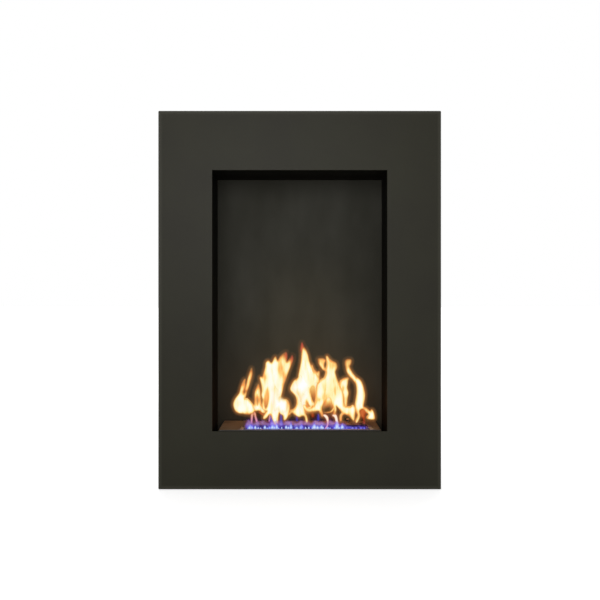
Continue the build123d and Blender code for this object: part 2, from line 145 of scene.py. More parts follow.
def powder_coat(low, high):
    """Sheet steel with a baked polyester powder coat, satin black-brown.

    It gives the eye one even, soft dark face with a faint orange peel, and a paler line along the
    folds: a painted highlight, for the light that the rounded bends catch.
    """
    half = (high.x - low.x) / 2
    rise = (high.z - low.z) / 2

    def build(tree, where):
        # the coat's thickness varies over a hand's width
        cloud = {"Vector": where, "Scale": every(160), "Detail": 3.0}
        cloud = add(tree, "ShaderNodeTexNoise", cloud)
        # real peel is 1 mm wide, drawn 3 mm to show
        peel = {"Vector": where, "Scale": every(3.2), "Detail": 1.0}
        peel = add(tree, "ShaderNodeTexNoise", peel)
        centre = (0, 0, -(low.z + high.z) / 2)
        placed = add(tree, "ShaderNodeMapping", {"Vector": where, "Location": centre})
        away = add(tree, "ShaderNodeVectorMath", {0: placed}, operation="ABSOLUTE")
        axes = add(tree, "ShaderNodeSeparateXYZ", {"Vector": away}).outputs
        # The paler band along the outer folds is a painted highlight: the light that the rounded
        # bends catch, painted into the coat's colour.
        bands = []
        for axis, reach in (("X", half), ("Z", rise)):
            ends = spread(0.0, 1.0, reach - fold_highlight_band, reach)
            bands.append(add(tree, "ShaderNodeMapRange", {"Value": axes[axis], **ends}))
        fold_highlight = add(tree, "ShaderNodeMath", {0: bands[0], 1: bands[1]}, operation="MAXIMUM")
        coat = add(tree, "ShaderNodeValToRGB", {"Fac": cloud}, tones("#1d1b11", "#222115"))
        links = {0: fold_highlight, 6: coat, 7: linear("#38372e")}
        return {
            "Base Color": add(tree, "ShaderNodeMix", links, data_type="RGBA").outputs[2],
            "Roughness": add(tree, "ShaderNodeMapRange", {"Value": peel, **spread(0.46, 0.54)}),
            "Normal": add(tree, "ShaderNodeBump", {"Height": peel, "Distance": 0.03 * MM}),
            "Specular IOR Level": 0.18,
        }

    return surface("powder_coated_steel", build)


def heat_paint(name, low, high, specular):
    """Sheet steel sprayed with heat-proof matt silicone paint.

    It gives the eye a dry, slightly sooty face with no clear reflection, so the firebox falls away
    into the dark round the fire.
    """

    def build(tree, where):
        tall = add(tree, "ShaderNodeMapping", {"Vector": where, "Scale": (1, 1, 0.45)})
        # soot drawn upwards by the draught, 70 mm across
        soot = add(tree, "ShaderNodeTexNoise", {"Vector": tall, "Scale": every(70), "Detail": 4.0})
        # paint grain of 0.3 mm, drawn coarser to show
        grit = {"Vector": where, "Scale": every(2.4), "Detail": 2.0}
        grit = add(tree, "ShaderNodeTexNoise", grit)
        return {
            "Base Color": add(tree, "ShaderNodeValToRGB", {"Fac": soot}, tones(low, high)),
            "Roughness": add(tree, "ShaderNodeMapRange", {"Value": soot, **spread(0.7, 0.6)}),
            "Normal": add(tree, "ShaderNodeBump", {"Height": grit, "Distance": 0.04 * MM}),
            "Specular IOR Level": specular,
        }

    return surface(name, build)


def brushed_steel(
    name, stops, along, roughness, metallic=1.0, tint_size=60, tint_wide=1.0, reflection_and_shade=None
):
    """Stainless steel sheet with a 180 grit brushed finish.

    It gives the eye long fine scratches along one axis, which smear the light across them, and
    slow changes of tint, tint_size mm wide, where heat has browned it. The last argument holds the
    colours of the burner plate's strip before the slot, a painted reflection of the blue jets
    above it, and of its folded front edge, a painted shade for the dark gap between it and the
    frame.
    """
    stretch = [0.04 if axis == along else 1.0 for axis in range(3)]

    def build(tree, where):
        drawn = add(tree, "ShaderNodeMapping", {"Vector": where, "Scale": stretch})
        # the scratches are 0.1 mm wide, drawn 1.6 mm to show
        scratches = {"Vector": drawn, "Scale": every(1.6), "Detail": 4.0}
        scratches = add(tree, "ShaderNodeTexNoise", scratches)
        wide = add(tree, "ShaderNodeMapping", {"Vector": where, "Scale": (tint_wide, 1, 1)})
        heat = add(tree, "ShaderNodeTexNoise", {"Vector": wide, "Scale": every(tint_size)})
        tint = add(tree, "ShaderNodeValToRGB", {"Fac": heat}, stops).outputs["Color"]
        if reflection_and_shade:
            # Painted light on the burner plate: a painted reflection of the blue jets on the strip
            # before the slot, and a painted shade on the faces turned to the front, where the
            # plate's edge lies in the dark gap over the frame.
            normal = add(tree, "ShaderNodeNewGeometry").outputs["Normal"]
            facing = add(tree, "ShaderNodeSeparateXYZ", {"Vector": normal}).outputs["Y"]
            axes = add(tree, "ShaderNodeSeparateXYZ", {"Vector": where}).outputs
            shares = []
            for value, ends in (
                (axes["X"], spread(0.0, 1.0, slot_left - jet_reflection_reach, slot_left)),
                (axes["X"], spread(1.0, 0.0, slot_right, slot_right + jet_reflection_reach)),
                (axes["Y"], spread(0.5, 1.0, slot_front - lip_deep, slot_front)),
                (axes["Y"], spread(1.0, 0.0, slot_front, slot_front + 2 * MM)),
                (facing, spread(1.0, 0.0, -0.8, -0.2)),
            ):
                shares.append(add(tree, "ShaderNodeMapRange", {"Value": value, **ends}))
            blue = shares[0]
            for share in shares[1:4]:
                blue = add(tree, "ShaderNodeMath", {0: blue, 1: share}, operation="MULTIPLY")
            for share, colour in zip((blue, shares[4]), reflection_and_shade):
                links = {0: share, 6: tint, 7: linear(colour)}
                tint = add(tree, "ShaderNodeMix", links, data_type="RGBA").outputs[2]
        worn = spread(roughness - 0.08, roughness + 0.08)
        return {
            "Base Color": tint,
            "Roughness": add(tree, "ShaderNodeMapRange", {"Value": scratches, **worn}),
            "Normal": add(tree, "ShaderNodeBump", {"Height": scratches, "Distance": 0.02 * MM}),
            "Metallic": metallic,
        }

    return surface(name, build)


def galvanised():
    """Hot-dip galvanised steel sheet.

    It gives the eye flat zinc crystals of about 12 mm, each with its own grey and its own gloss.
    """

    def build(tree, where):
        spangle = add(tree, "ShaderNodeTexVoronoi", {"Vector": where, "Scale": every(12)})
        grey = add(tree, "ShaderNodeSeparateColor", {"Color": spangle.outputs["Color"]})
        gloss = spread(0.34, 0.55, 0.0, 1.0)
        zinc = [(0.0, "#a9adb0"), (1.0, "#c6c9cb")]
        return {
            "Base Color": add(tree, "ShaderNodeValToRGB", {"Fac": grey}, zinc),
            "Roughness": add(tree, "ShaderNodeMapRange", {"Value": grey, **gloss}),
            "Metallic": 1.0,
        }

    return surface("galvanised_sheet", build)


def fixing_metal(name, low, high, roughness):
    """Fixings: electroplated zinc on studs and nuts, plain drawn steel on rivets.

    It gives the eye a small even metal gleam with a faint stain.
    """

    def build(tree, where):
        stain = {"Vector": where, "Scale": every(4), "Detail": 3.0}
        stain = add(tree, "ShaderNodeTexNoise", stain)
        worn = spread(roughness - 0.05, roughness + 0.08)
        return {
            "Base Color": add(tree, "ShaderNodeValToRGB", {"Fac": stain}, tones(low, high)),
            "Roughness": add(tree, "ShaderNodeMapRange", {"Value": stain, **worn}),
            "Metallic": 1.0,
        }

    return surface(name, build)


def mineral_board():
    """Pressed calcium silicate insulation board.

    It gives the eye a chalky, off-white face with mica flecks and pinholes about 5 mm apart.
    """

    def build(tree, where):
        fleck = add(tree, "ShaderNodeTexVoronoi", {"Vector": where, "Scale": every(5)})
        chalk = {"Vector": where, "Scale": every(30), "Detail": 3.0}
        chalk = add(tree, "ShaderNodeTexNoise", chalk)
        mica = [(0.05, "#b9ab8c"), (0.2, "#ded8c8")]
        return {
            "Base Color": add(tree, "ShaderNodeValToRGB", {"Fac": fleck}, mica),
            "Roughness": add(tree, "ShaderNodeMapRange", {"Value": chalk, **spread(0.85, 0.95)}),
            "Normal": add(tree, "ShaderNodeBump", {"Height": fleck, "Distance": 0.15 * MM}),
        }

    return surface("calcium_silicate_board", build)


def spun_wool():
    """Spun ceramic fibre, needled into a blanket.

    It gives the eye a white, matted, shadowless face with loose fibres all ways.
    """

    def build(tree, where):
        lays = []
        for stretch in ((1, 0.25, 1), (0.25, 1, 1)):
            laid = add(tree, "ShaderNodeMapping", {"Vector": where, "Scale": stretch})
            # fibres of 0.01 mm in tufts, drawn 2.2 mm wide to show
            tufts = {"Vector": laid, "Scale": every(2.2), "Detail": 6.0, "Roughness": 0.7}
            lays.append(add(tree, "ShaderNodeTexNoise", tufts))
        mat = add(tree, "ShaderNodeMath", {0: lays[0], 1: lays[1]}, operation="MAXIMUM")
        white = [(0.4, "#cfcabd"), (0.7, "#f2f0ea")]
        return {
            "Base Color": add(tree, "ShaderNodeValToRGB", {"Fac": mat}, white),
            "Normal": add(tree, "ShaderNodeBump", {"Height": mat, "Distance": 0.5 * MM}),
            "Roughness": 0.95,
            "Sheen Weight": 0.2,
        }

    return surface("ceramic_fibre_blanket", build)


def moulded_rubber():
    """Black rubber, compression moulded.

    It gives the eye a dull, near-black face with a grey bloom.
    """

    def build(tree, where):
        bloom = {"Vector": where, "Scale": every(6), "Detail": 4.0}
        bloom = add(tree, "ShaderNodeTexNoise", bloom)
        greys = [(0.3, "#161616"), (0.75, "#242423")]
        return {
            "Base Color": add(tree, "ShaderNodeValToRGB", {"Fac": bloom}, greys),
            "Roughness": add(tree, "ShaderNodeMapRange", {"Value": bloom, **spread(0.62, 0.78)}),
            "Normal": add(tree, "ShaderNodeBump", {"Height": bloom, "Distance": 0.03 * MM}),
            "Specular IOR Level": 0.4,
        }

    return surface("moulded_rubber", build)


finish = {
    "frame_coating": powder_coat(*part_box("front_frame")),
    # The sides' and roof's paint is painted near black, far darker than the back wall's: a painted
    # shade for the little light that reaches them.
    "liner_coating": heat_paint("heat_proof_paint_painted_shade", "#070704", "#0c0b08", 0.05),
    "galvanised_steel": galvanised(),
    "zinc_steel": fixing_metal("zinc_plated_steel", "#a9adb2", "#c2c5c8", 0.3),
    "rivet_steel": fixing_metal("plain_steel_rivets", "#8e8d8a", "#a9a8a4", 0.42),
    "stainless_steel": brushed_steel(
        "brushed_stainless_steel", tones("#8f8a83", "#a8a39b"), 0, 0.36
    ),
    "insulation_board": mineral_board(),
    "ceramic_wool": spun_wool(),
    "black_rubber": moulded_rubber(),
}
# The same heat-proof paint on the back wall, in a lighter grey-brown: the sides' and roof's paint
# is darkened into a painted shade, so the wall reads lighter.
back_paint = heat_paint("heat_proof_brown_black_paint", "#25241c", "#2b2a22", 0.2)
# The plates round the slot: brushed, then browned to straw and bronze by the fire above them.
tinted_plate = brushed_steel(
    "heat_tinted_stainless_steel",
    [(0.25, "#7a5e43"), (0.42, "#937558"), (0.58, "#a38465"), (0.75, "#977d62")],
    0,
    0.36,
    metallic=0.6,
    tint_size=45,
    tint_wide=0.5,
    # pale blue: a painted reflection of the jets before the slot; near black: a painted shade on
    # the front edge
    reflection_and_shade=("#7478b4", "#15130f"),
)
# The guides, their rivets and the pillar: a lighter bronze, since they are thick and stay cooler.
tinted_small = brushed_steel(
    "heat_tinted_small_parts", tones("#8a6c50", "#a88a6c"), 1, 0.34, metallic=0.7
)
# The pull rod lies in the flames: soot makes it a thin black line across the plate.
blackened_rod = brushed_steel(
    "soot_blackened_rod", tones("#16120f", "#221c18"), 1, 0.5, metallic=0.5
)
own = {
    "liner_back": back_paint,
    "burner_plate": tinted_plate,
    "shutter_plate": tinted_plate,
    "pull_rod": blackened_rod,
}
for name in ("guide_left", "guide_right", "guide_rivets", "shutter_pillar", "pillar_cap"):
    own[name] = tinted_small
for row in frame["record"]["subparts"]:
    node = frame["nodes"][row["node"]]
    node.data.materials.clear()
    node.data.materials.append(own.get(row["node"], finish[row["material_slot"]]))


# ---- Meshes ----
def shown(name, mesh, body):
    """A smooth mesh's object, at the origin, that rides on a body."""
    obj = bpy.data.objects.new(name, mesh)
    bpy.context.scene.collection.objects.link(obj)
    for polygon in mesh.polygons:
        polygon.use_smooth = True
    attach(obj, body)
    return obj


def piece(name, points, faces, material, body):
    """A mesh piece made of points and faces."""
    mesh = bpy.data.meshes.new(name)
    mesh.from_pydata(points, [], faces)
    mesh.materials.append(material)
    return shown(name, mesh, body)


# ---- Flames ----
flame_rim = 9.4  # mm that the faint glow reaches past the outline
flame_margin = 12  # mm that the grid of points reaches past it
flame_halo = 7.8  # mm of the glow that are only a halo
halo_warmth = 0.12  # the warmth where the halo ends
flame_edge = 6.0  # mm from the halo to the full fire
edge_power = 0.75  # under 1, so that the warmth climbs fastest at the edge
flame_pitch = 1.1  # mm between a flame's points
flame_half = 7.0  # mm from a flame's middle to its face, where it is wide
flame_round = 10  # mm in from the rim at which it is that thick
sway_start = 60  # mm above the plate, where the flame sways fully
sway_tall, sway_wide = 38, 25  # mm of height, and of width, for one radian of its sway
hole_dark, hole_lift = 0.95, 0.5  # the warmth lost at a hole's foot, and what its top keeps of it
hole_reach, hole_fade = 2.5, 5.5  # mm past its outline where a hole starts, and in to full depth
rim_fade = 1.3  # how much faster a flame's rim thins out than its warmth


def rounded(outline, steps=5):
    """A closed curve through the outline's points."""
    corners = np.array(outline, float)
    before, after, second = (np.roll(corners, n, axis=0) for n in (1, -1, -2))
    curve = []
    for t in np.arange(steps) / steps:
        part = 2 * corners + (after - before) * t
        part = part + (2 * before - 5 * corners + 4 * after - second) * t**2
        part = part + (3 * corners - before - 3 * after + second) * t**3
        curve.append(part / 2)
    return np.stack(curve, axis=1).reshape(-1, 2)


def depth_inside(points, curve):
    """How far each point lies inside the closed curve, and below zero outside it."""
    ends = np.roll(curve, -1, axis=0)
    nearest = np.full(len(points), 1e9)
    inside = np.zeros(len(points), bool)
    for a, b in zip(curve, ends):
        run = b - a
        along = np.clip(((points - a) @ run) / max(run @ run, 1e-9), 0, 1)
        away = np.hypot(*(points - a - along[:, None] * run).T)
        nearest = np.minimum(nearest, away)
        if a[1] != b[1]:
            crosses = (points[:, 1] < a[1]) != (points[:, 1] < b[1])
            level = (points[:, 1] - a[1]) / run[1]
            inside ^= crosses & (points[:, 0] < a[0] + level * run[0])
    return np.where(inside, nearest, -nearest)


def flame(
    name,
    plane,
    outline,
    holes=(),
    cool=(),
    material=None,
    half=flame_half,
    sway=6.0,
    edge=flame_edge,
):
    """A lens-shaped tongue of fire that stands on the plate, its warmth kept for its colours.

    Its outline is in mm, across and above the plate, on a plane at a depth in mm. holes are
    outlines where it is thin and dark, most at their foot. cool gives places, as across, height,
    radius and share, where the fire is redder.
    """
    curve = rounded(outline)
    low = curve.min(0) - flame_margin
    high = curve.max(0) + flame_margin
    columns = np.arange(low[0], high[0], flame_pitch)
    rows = np.arange(low[1], high[1], flame_pitch)
    x, h = np.meshgrid(columns, rows)
    flat = np.stack([x.ravel(), h.ravel()], axis=1)
    inside = depth_inside(flat, curve) + flame_rim
    grid = inside.reshape(x.shape)
    full = grid > 0
    cells = full[:-1, :-1] | full[1:, :-1] | full[:-1, 1:] | full[1:, 1:]
    # the points just past the rim are drawn in to lie on it
    slope_h, slope_x = np.gradient(grid, flame_pitch)
    outer = np.minimum(inside, 0)[:, None]
    slope = np.stack([slope_x.ravel(), slope_h.ravel()], axis=1)
    steep = np.maximum((slope**2).sum(1), 0.25)[:, None]
    shift = outer * slope / steep
    reach = np.hypot(*shift.T)[:, None]
    flat = flat - shift * np.minimum(1, 1.3 * flame_pitch / np.maximum(reach, 1e-6))
    inside = np.maximum(inside, 0)
    heat = halo_warmth * np.clip(inside / flame_halo, 0, 1)
    full_part = np.clip((inside - flame_halo) / edge, 0, 1) ** edge_power
    heat = heat + (1 - halo_warmth) * full_part
    for hole in holes:
        gap = rounded(hole)
        bottom, top = gap[:, 1].min(), gap[:, 1].max()
        climb = np.clip((flat[:, 1] - bottom) / (top - bottom), 0, 1)
        share = hole_dark - hole_lift * climb**1.5
        depth = np.clip((depth_inside(flat, gap) + hole_reach) / hole_fade, 0, 1)
        heat = heat * (1 - share * depth)
    for across, height, radius, share in cool:
        away = ((flat - (across, height)) ** 2).sum(1) / radius**2
        heat = heat * (1 - share * np.exp(-away))
    thick = half * np.sqrt(np.clip(inside / flame_round, 0, 1))
    rise = np.clip(flat[:, 1] / sway_start, 0, 1)
    wave = np.sin(flat[:, 1] / sway_tall + flat[:, 0] / sway_wide + plane)
    middle = plane + sway * rise * wave
    points = []
    heats = []
    # each grid point gives a point on the front and on the back, and one for both at the rim
    face_of = [np.full(len(flat), -1), np.full(len(flat), -1)]
    used = np.zeros(grid.shape, bool)
    for di, dj in ((0, 0), (1, 0), (0, 1), (1, 1)):
        used[di : di + cells.shape[0], dj : dj + cells.shape[1]] |= cells
    for i in np.flatnonzero(used.ravel()):
        for side in (0, 1):
            if side == 1 and inside[i] <= 0:
                face_of[1][i] = face_of[0][i]
                continue
            y = middle[i] + (thick[i] if side else -thick[i])
            face_of[side][i] = len(points)
            points.append((flat[i, 0] * MM, y * MM, plate_top + flat[i, 1] * MM))
            heats.append(heat[i])
    faces = []
    width = grid.shape[1]
    for r, c in zip(*np.nonzero(cells)):
        loop = [r * width + c, r * width + c + 1, (r + 1) * width + c + 1, (r + 1) * width + c]
        front = [int(face_of[0][k]) for k in loop]
        back = [int(face_of[1][k]) for k in reversed(loop)]
        if sorted(front) != sorted(back):
            faces += [front, back]
    obj = piece(name, points, faces, material or fire, "burner")
    obj.data.attributes.new("warmth", "FLOAT", "POINT").data.foreach_set("value", heats)


def burning(name, stops, low_stops, low_top, opacity, patch=1.0, solid_at=0.5):
    """Burning alcohol vapour, a gas: no surface to catch the light, only its own light.

    It gives the eye a clear rim that thins out to nothing, upright streaks, and a glow that hides
    what is behind it. low_stops are its colours near the plate, up to low_top mm. It is full at
    the warmth solid_at, and patch is the share of it that its thinnest spots keep.
    """

    def build(tree, where):
        warmth = add(tree, "ShaderNodeAttribute", attribute_name="warmth").outputs["Fac"]
        tongues = add(tree, "ShaderNodeMapping", {"Vector": where, "Scale": (1, 0.6, 0.16)})
        # streaks drawn upwards by the draught, 9 mm apart
        streaks = {"Vector": tongues, "Scale": every(9), "Detail": 3.0}
        streaks = add(tree, "ShaderNodeTexNoise", streaks)
        cooler = spread(0.0, 0.42, 0.45, 0.7)
        drop = add(tree, "ShaderNodeMapRange", {"Value": streaks, **cooler})
        glow = add(tree, "ShaderNodeMath", {0: warmth, 1: drop}, operation="SUBTRACT")
        height = add(tree, "ShaderNodeSeparateXYZ", {"Vector": where}).outputs["Z"]
        foot = spread(1.0, 0.0, plate_top, plate_top + low_top * MM)
        near_plate = add(tree, "ShaderNodeMapRange", {"Value": height, **foot})
        high_part = add(tree, "ShaderNodeValToRGB", {"Fac": glow}, stops)
        low_part = add(tree, "ShaderNodeValToRGB", {"Fac": glow}, low_stops)
        links = {0: near_plate, 6: high_part, 7: low_part}
        colour = add(tree, "ShaderNodeMix", links, data_type="RGBA").outputs[2]
        veil = add(tree, "ShaderNodeMapRange", {"Value": warmth, "From Max": solid_at})
        veil = add(tree, "ShaderNodeMath", {0: veil, 1: rim_fade}, operation="POWER")
        gusts = add(tree, "ShaderNodeMapping", {"Vector": where, "Scale": (1, 1, 0.5)})
        # thicker and thinner spots, 10 mm apart
        gusts = {"Vector": gusts, "Scale": every(10), "Detail": 3.0}
        gusts = add(tree, "ShaderNodeTexNoise", gusts)
        share = spread(patch * opacity, opacity, 0.4, 0.62)
        gusts = add(tree, "ShaderNodeMapRange", {"Value": gusts, **share})
        return {
            "Emission Color": colour,
            "Alpha": add(tree, "ShaderNodeMath", {0: veil, 1: gusts}, operation="MULTIPLY"),
            "Emission Strength": 1.0,
            "Base Color": (0, 0, 0, 1),
            "Specular IOR Level": 0.0,
        }

    material = surface(name, build)
    material.cycles.emission_sampling = "NONE"
    return material


# Full fire: soot glowing yellow-white inside, orange where it is thin, violet at its foot.
fire = burning(
    "burning_alcohol_vapour",
    [
        (0.0, "#e4a05c"),
        (0.14, "#ff944a"),
        (0.29, "#ffba65"),
        (0.45, "#ffdc84"),
        (0.62, "#fff6b9"),
        (0.95, "#fffff0"),
    ],
    [(0.0, "#4a1470"), (0.25, "#b0508c"), (0.6, "#ffd0c8"), (1.0, "#fff4ea")],
    14,
    0.94,
)
# The hottest hearts of the two biggest flames: plain white that fades to yellow.
heart_stops = [(0.0, "#ffa850"), (0.25, "#ffe49c"), (0.5, "#fffbe0"), (0.75, "#ffffff")]
white_fire = burning(
    "burning_alcohol_vapour_core", heart_stops, heart_stops, 10, 1.0, solid_at=1.0
)
# Fresh vapour over the slot, with no soot in it yet: a thin, patchy violet veil, blue at its foot.
blue_fire = burning(
    "burning_alcohol_vapour_base",
    [(0.0, "#7a40a8"), (0.5, "#a87cc8"), (1.0, "#bc98dc")],
    [(0.0, "#3a2cc0"), (0.5, "#5450e8"), (1.0, "#6c74fa")],
    12,
    0.5,
    patch=0.3,
    solid_at=0.7,
)
# Jets where vapour and air meet at the slot's edge: pale blue, the brightest part of the base.
jet_fire = burning(
    "burning_alcohol_vapour_jets",
    [(0.0, "#7a58e8"), (0.3, "#8c7cf4"), (0.6, "#a4acff"), (1.0, "#cfdcff")],
    [(0.0, "#5a50f0"), (0.25, "#7c8cff"), (0.5, "#a4c0ff"), (0.9, "#dcecff")],
    11,
    0.86,
    solid_at=0.85,
)
# Weak wisps behind the fire: deep blue, hardly seen.
wisp_fire = burning(
    "burning_alcohol_vapour_wisps",
    [(0.0, "#2c2478"), (0.5, "#3a3aa8"), (1.0, "#5a5ae0")],
    [(0.0, "#4a3cd0"), (0.5, "#8078f4"), (1.0, "#b0b0ff")],
    16,
    0.62,
    solid_at=0.7,
)
# Two thin legs in front, where blue base and yellow fire mix: pinkish white.
pink_fire = burning(
    "burning_alcohol_vapour_pink",
    [(0.0, "#c05a48"), (0.25, "#ffc8a4"), (0.6, "#fff0dc"), (1.0, "#fffcf4")],
    [(0.0, "#8048b0"), (0.25, "#f0a0d8"), (0.6, "#ffe0f4"), (1.0, "#fff6fc")],
    18,
    0.92,
)
# Vapour burning with too little air: dull red and half clear.
red_fire = burning(
    "burning_alcohol_vapour_red",
    [(0.0, "#8a2408"), (0.6, "#c04c20"), (1.0, "#e0783c")],
    [(0.0, "#8a2458"), (0.6, "#b84858"), (1.0, "#e09080")],
    16,
    0.6,
    solid_at=0.9,
)
# The very tips of three tongues, where the soot cools: dull crimson, half clear.
tip_stops = [(0.0, "#6c2428"), (0.5, "#a83c38"), (1.0, "#c4503e")]
tip_fire = burning("burning_alcohol_vapour_tips", tip_stops, tip_stops, 10, 0.56, solid_at=0.85)
# Streaks that carry the base's violet up into the yellow: magenta, half clear.
magenta_fire = burning(
    "burning_alcohol_vapour_magenta",
    [(0.0, "#a84838"), (0.4, "#e08468"), (1.0, "#ffc0a0")],
    [(0.0, "#3a20b8"), (0.4, "#9048c8"), (1.0, "#e08ae8")],
    28,
    0.66,
    solid_at=0.9,
)

flame("flame_far_left", -128, [
    (-113, 138), (-112, 128), (-114, 117.5), (-117.5, 105), (-121.5, 93), (-125, 81),
    (-129, 67.5), (-124, 66), (-117.5, 60), (-110.5, 51.5), (-106.5, 42), (-109, 36),
    (-116.5, 31), (-127, 32), (-134, 33.5), (-144.5, 36), (-150, 41), (-154, 51.5),
    (-153.5, 60.5), (-149, 69), (-142, 78), (-139, 86.5), (-136.5, 97), (-132.5, 108),
    (-128.5, 111), (-129, 100), (-130.5, 89), (-131, 78), (-128, 89), (-124.5, 105),
    (-119, 121.5), (-116, 132),
], cool=[
    (-113, 135, 14, 0.6), (-129, 106, 10, 0.5), (-131, 82, 7, 0.55), (-125, 84, 6, 0.4),
    (-146, 58, 10, 0.25), (-118, 31, 8, 0.5), (-131, 32, 7, 0.35),
])
flame("flame_low_left", -122, [
    (-98, 99), (-95, 88.5), (-93.5, 72), (-92, 56), (-89, 49), (-83.5, 41), (-81, 34.5),
    (-86.5, 33.5), (-95, 39), (-103, 39), (-110, 38), (-114, 45), (-109, 49.5), (-106, 52),
    (-105.5, 66.5), (-105, 80), (-102.5, 88.5),
], [[(-99.5, 77.5), (-97.5, 66.5), (-98, 53), (-100.5, 50.5), (-102, 64)]], cool=[
    (-98, 96, 10, 0.45), (-99, 62, 8, 0.35),
])
flame("flame_left", -130, [
    (-93, 115.5), (-87.5, 117.5), (-84, 127), (-80, 140.5), (-78.5, 151), (-74, 155),
    (-68, 150.5), (-63.5, 152.5), (-59.5, 161.5), (-56.5, 165), (-54, 159.5), (-51, 156),
    (-45.5, 165), (-38, 173.5), (-32, 176), (-29.5, 169.5), (-30.5, 159.5), (-29.5, 154),
    (-23.5, 162), (-18, 169), (-15.5, 162), (-20.5, 148.5), (-26, 133.5), (-32.5, 115),
    (-38, 98.5), (-42, 82.5), (-45.5, 65), (-38, 63.5), (-31.5, 63.5), (-26.5, 57), (-24.5, 46),
    (-27, 30), (-32.5, 20), (-36.5, 18.5), (-38, 27.5), (-45, 33), (-48.5, 35), (-51, 24.5),
    (-52, 12.5), (-55, 6.5), (-59, 11), (-63.5, 20.5), (-67, 29.5), (-72.5, 30.5), (-78, 24),
    (-83, 21.5), (-84.5, 24.5), (-80.5, 32), (-76, 39.5), (-81, 41.5), (-86, 45.5), (-87, 54.5),
    (-85.5, 65), (-88.5, 75.5), (-87.5, 86.5), (-89, 100),
], [[
    (-74.5, 96), (-71, 86.5), (-70.5, 73), (-72.5, 57), (-77.5, 44), (-83, 47.5), (-84.5, 61),
    (-82, 78.5), (-79, 90.5),
]], cool=[
    (-34, 172, 15, 0.75), (-18, 166, 14, 0.85), (-35, 125, 14, 0.35), (-38, 100, 9, 0.3),
    (-84, 118, 9, 0.35), (-56, 163, 8, 0.3), (-60, 90, 9, 0.2), (-46, 140, 9, 0.3),
    (-36, 148, 13, 0.3),
])
flame("flame_left_fill", -116, [
    (-84, 46), (-73, 46), (-67, 60), (-66, 84), (-72, 100), (-82, 96), (-87, 78), (-87, 58),
], cool=[(-77, 50, 22, 0.6), (-77, 84, 18, 0.35)], half=3.0, edge=14)
flame("flame_middle", -120, [
    (5, 198), (9, 189), (14.5, 180), (18.5, 169), (22, 153), (28, 140), (33.5, 131.5),
    (40.5, 120.5), (45.5, 112.5), (45.5, 99), (44.5, 77), (42.5, 63.5), (40.5, 53), (32, 49.5),
    (24.5, 40.5), (18.5, 42), (14.5, 49), (11, 44.5), (12, 34), (16.5, 23), (18, 12.5),
    (15.5, 11.5), (12.5, 22.5), (7.5, 26), (-1, 24), (-10.5, 29), (-18.5, 33.5), (-25, 29),
    (-27, 31.5), (-22, 36), (-25, 38.5), (-17.5, 40), (-12, 43), (-7.5, 50.5), (-6.5, 61),
    (-8.5, 70.5), (-13, 77), (-19, 83), (-21.5, 90), (-17.5, 99.5), (-12.5, 107), (-3.5, 114),
    (-1.5, 123.5), (1, 137), (3.5, 150.5), (5, 172), (3.5, 185.5),
], [
    [
        (30, 99), (38, 94), (39.5, 72), (37, 56), (34.8, 52), (28.5, 61), (24.5, 74), (22, 90),
    ],
    [(13, 60), (15.5, 66), (18.5, 62), (22, 54), (26, 47.5), (21.3, 45), (16, 48.5)],
], cool=[
    (5, 196, 18, 0.75), (30, 104, 13, 0.35), (14, 45, 10, 0.2), (-20, 36, 9, 0.5),
    (8, 24, 10, 0.45),
])
flame("flame_middle_fill", -112, [
    (4, 34), (18, 30), (38, 34), (46, 44), (40, 52), (26, 55), (14, 62), (6, 52),
], cool=[(26, 42, 22, 0.8)], half=4.0, edge=12)
flame("flame_middle_back", -108, [
    (29, 144), (33.5, 134.5), (40.5, 128), (46, 129), (46.5, 119.5), (44.5, 108.5), (46, 97.5),
    (39, 92), (31, 103), (27, 119.5), (27.5, 133),
], cool=[(36, 120, 30, 0.5)])
flame("flame_forked", -124, [
    (44, 158.5), (49.5, 160), (56.5, 159), (60, 155.5), (57.5, 149.5), (57, 142.5), (60.5, 136),
    (64, 145.5), (63, 159), (64.5, 165.5), (70, 159), (77, 154), (85.5, 149.5), (87.5, 140),
    (83, 129.5), (86, 117), (91, 104.5), (97, 93), (101, 80), (101.5, 66), (103, 51), (112, 46.5),
    (120.5, 47), (125.5, 49.5), (130, 45), (129.5, 31), (127.5, 17), (123, 19), (114.5, 27),
    (105, 31), (99, 26.5), (97.5, 16), (95, 16), (95.5, 26), (99.5, 34), (91.5, 45.5), (85, 50.5),
    (85.5, 40), (83.5, 27.5), (79.5, 29), (81, 42.5), (77, 56), (71.5, 67), (64.5, 67),
    (56.5, 58.5), (51.5, 49.5), (51.5, 40), (55, 28.5), (51.5, 26.5), (47, 36), (44, 40),
    (33.5, 38.5), (21, 36.5), (13, 41), (8.5, 50.5), (12, 52), (20, 45.5), (28, 47), (34, 52),
    (37.8, 60), (38.3, 77.5), (40, 99.5), (50.5, 110.5), (56.5, 114), (60, 121), (60.5, 130.5),
    (55, 135), (49.5, 142.5), (45, 150),
], cool=[
    (47, 156, 11, 0.6), (84, 145, 14, 0.5), (64, 70, 13, 0.5), (60, 96, 14, 0.25),
    (46, 66, 6, 0.4), (22, 40, 14, 0.4), (118, 24, 11, 0.5), (52, 30, 8, 0.4), (58, 128, 8, 0.35),
    (83, 86, 16, 0.42), (82, 110, 13, 0.32), (84, 33, 8, 0.5),
])
flame("flame_right_low", -116, [
    (95, 104), (100, 110.5), (107, 114.5), (115, 115), (113, 106.5), (111, 93), (114, 79.5),
    (112, 66), (110, 46.5), (105.5, 45.5), (100, 49.5), (96, 63), (93.5, 82),
], [[(102.5, 76.5), (104.5, 66), (107.5, 49.5), (105, 48), (101.5, 60.5)]], cool=[
    (113, 113, 10, 0.45), (96, 66, 8, 0.4), (103, 90, 9, 0.3), (104, 68, 14, 0.35),
])
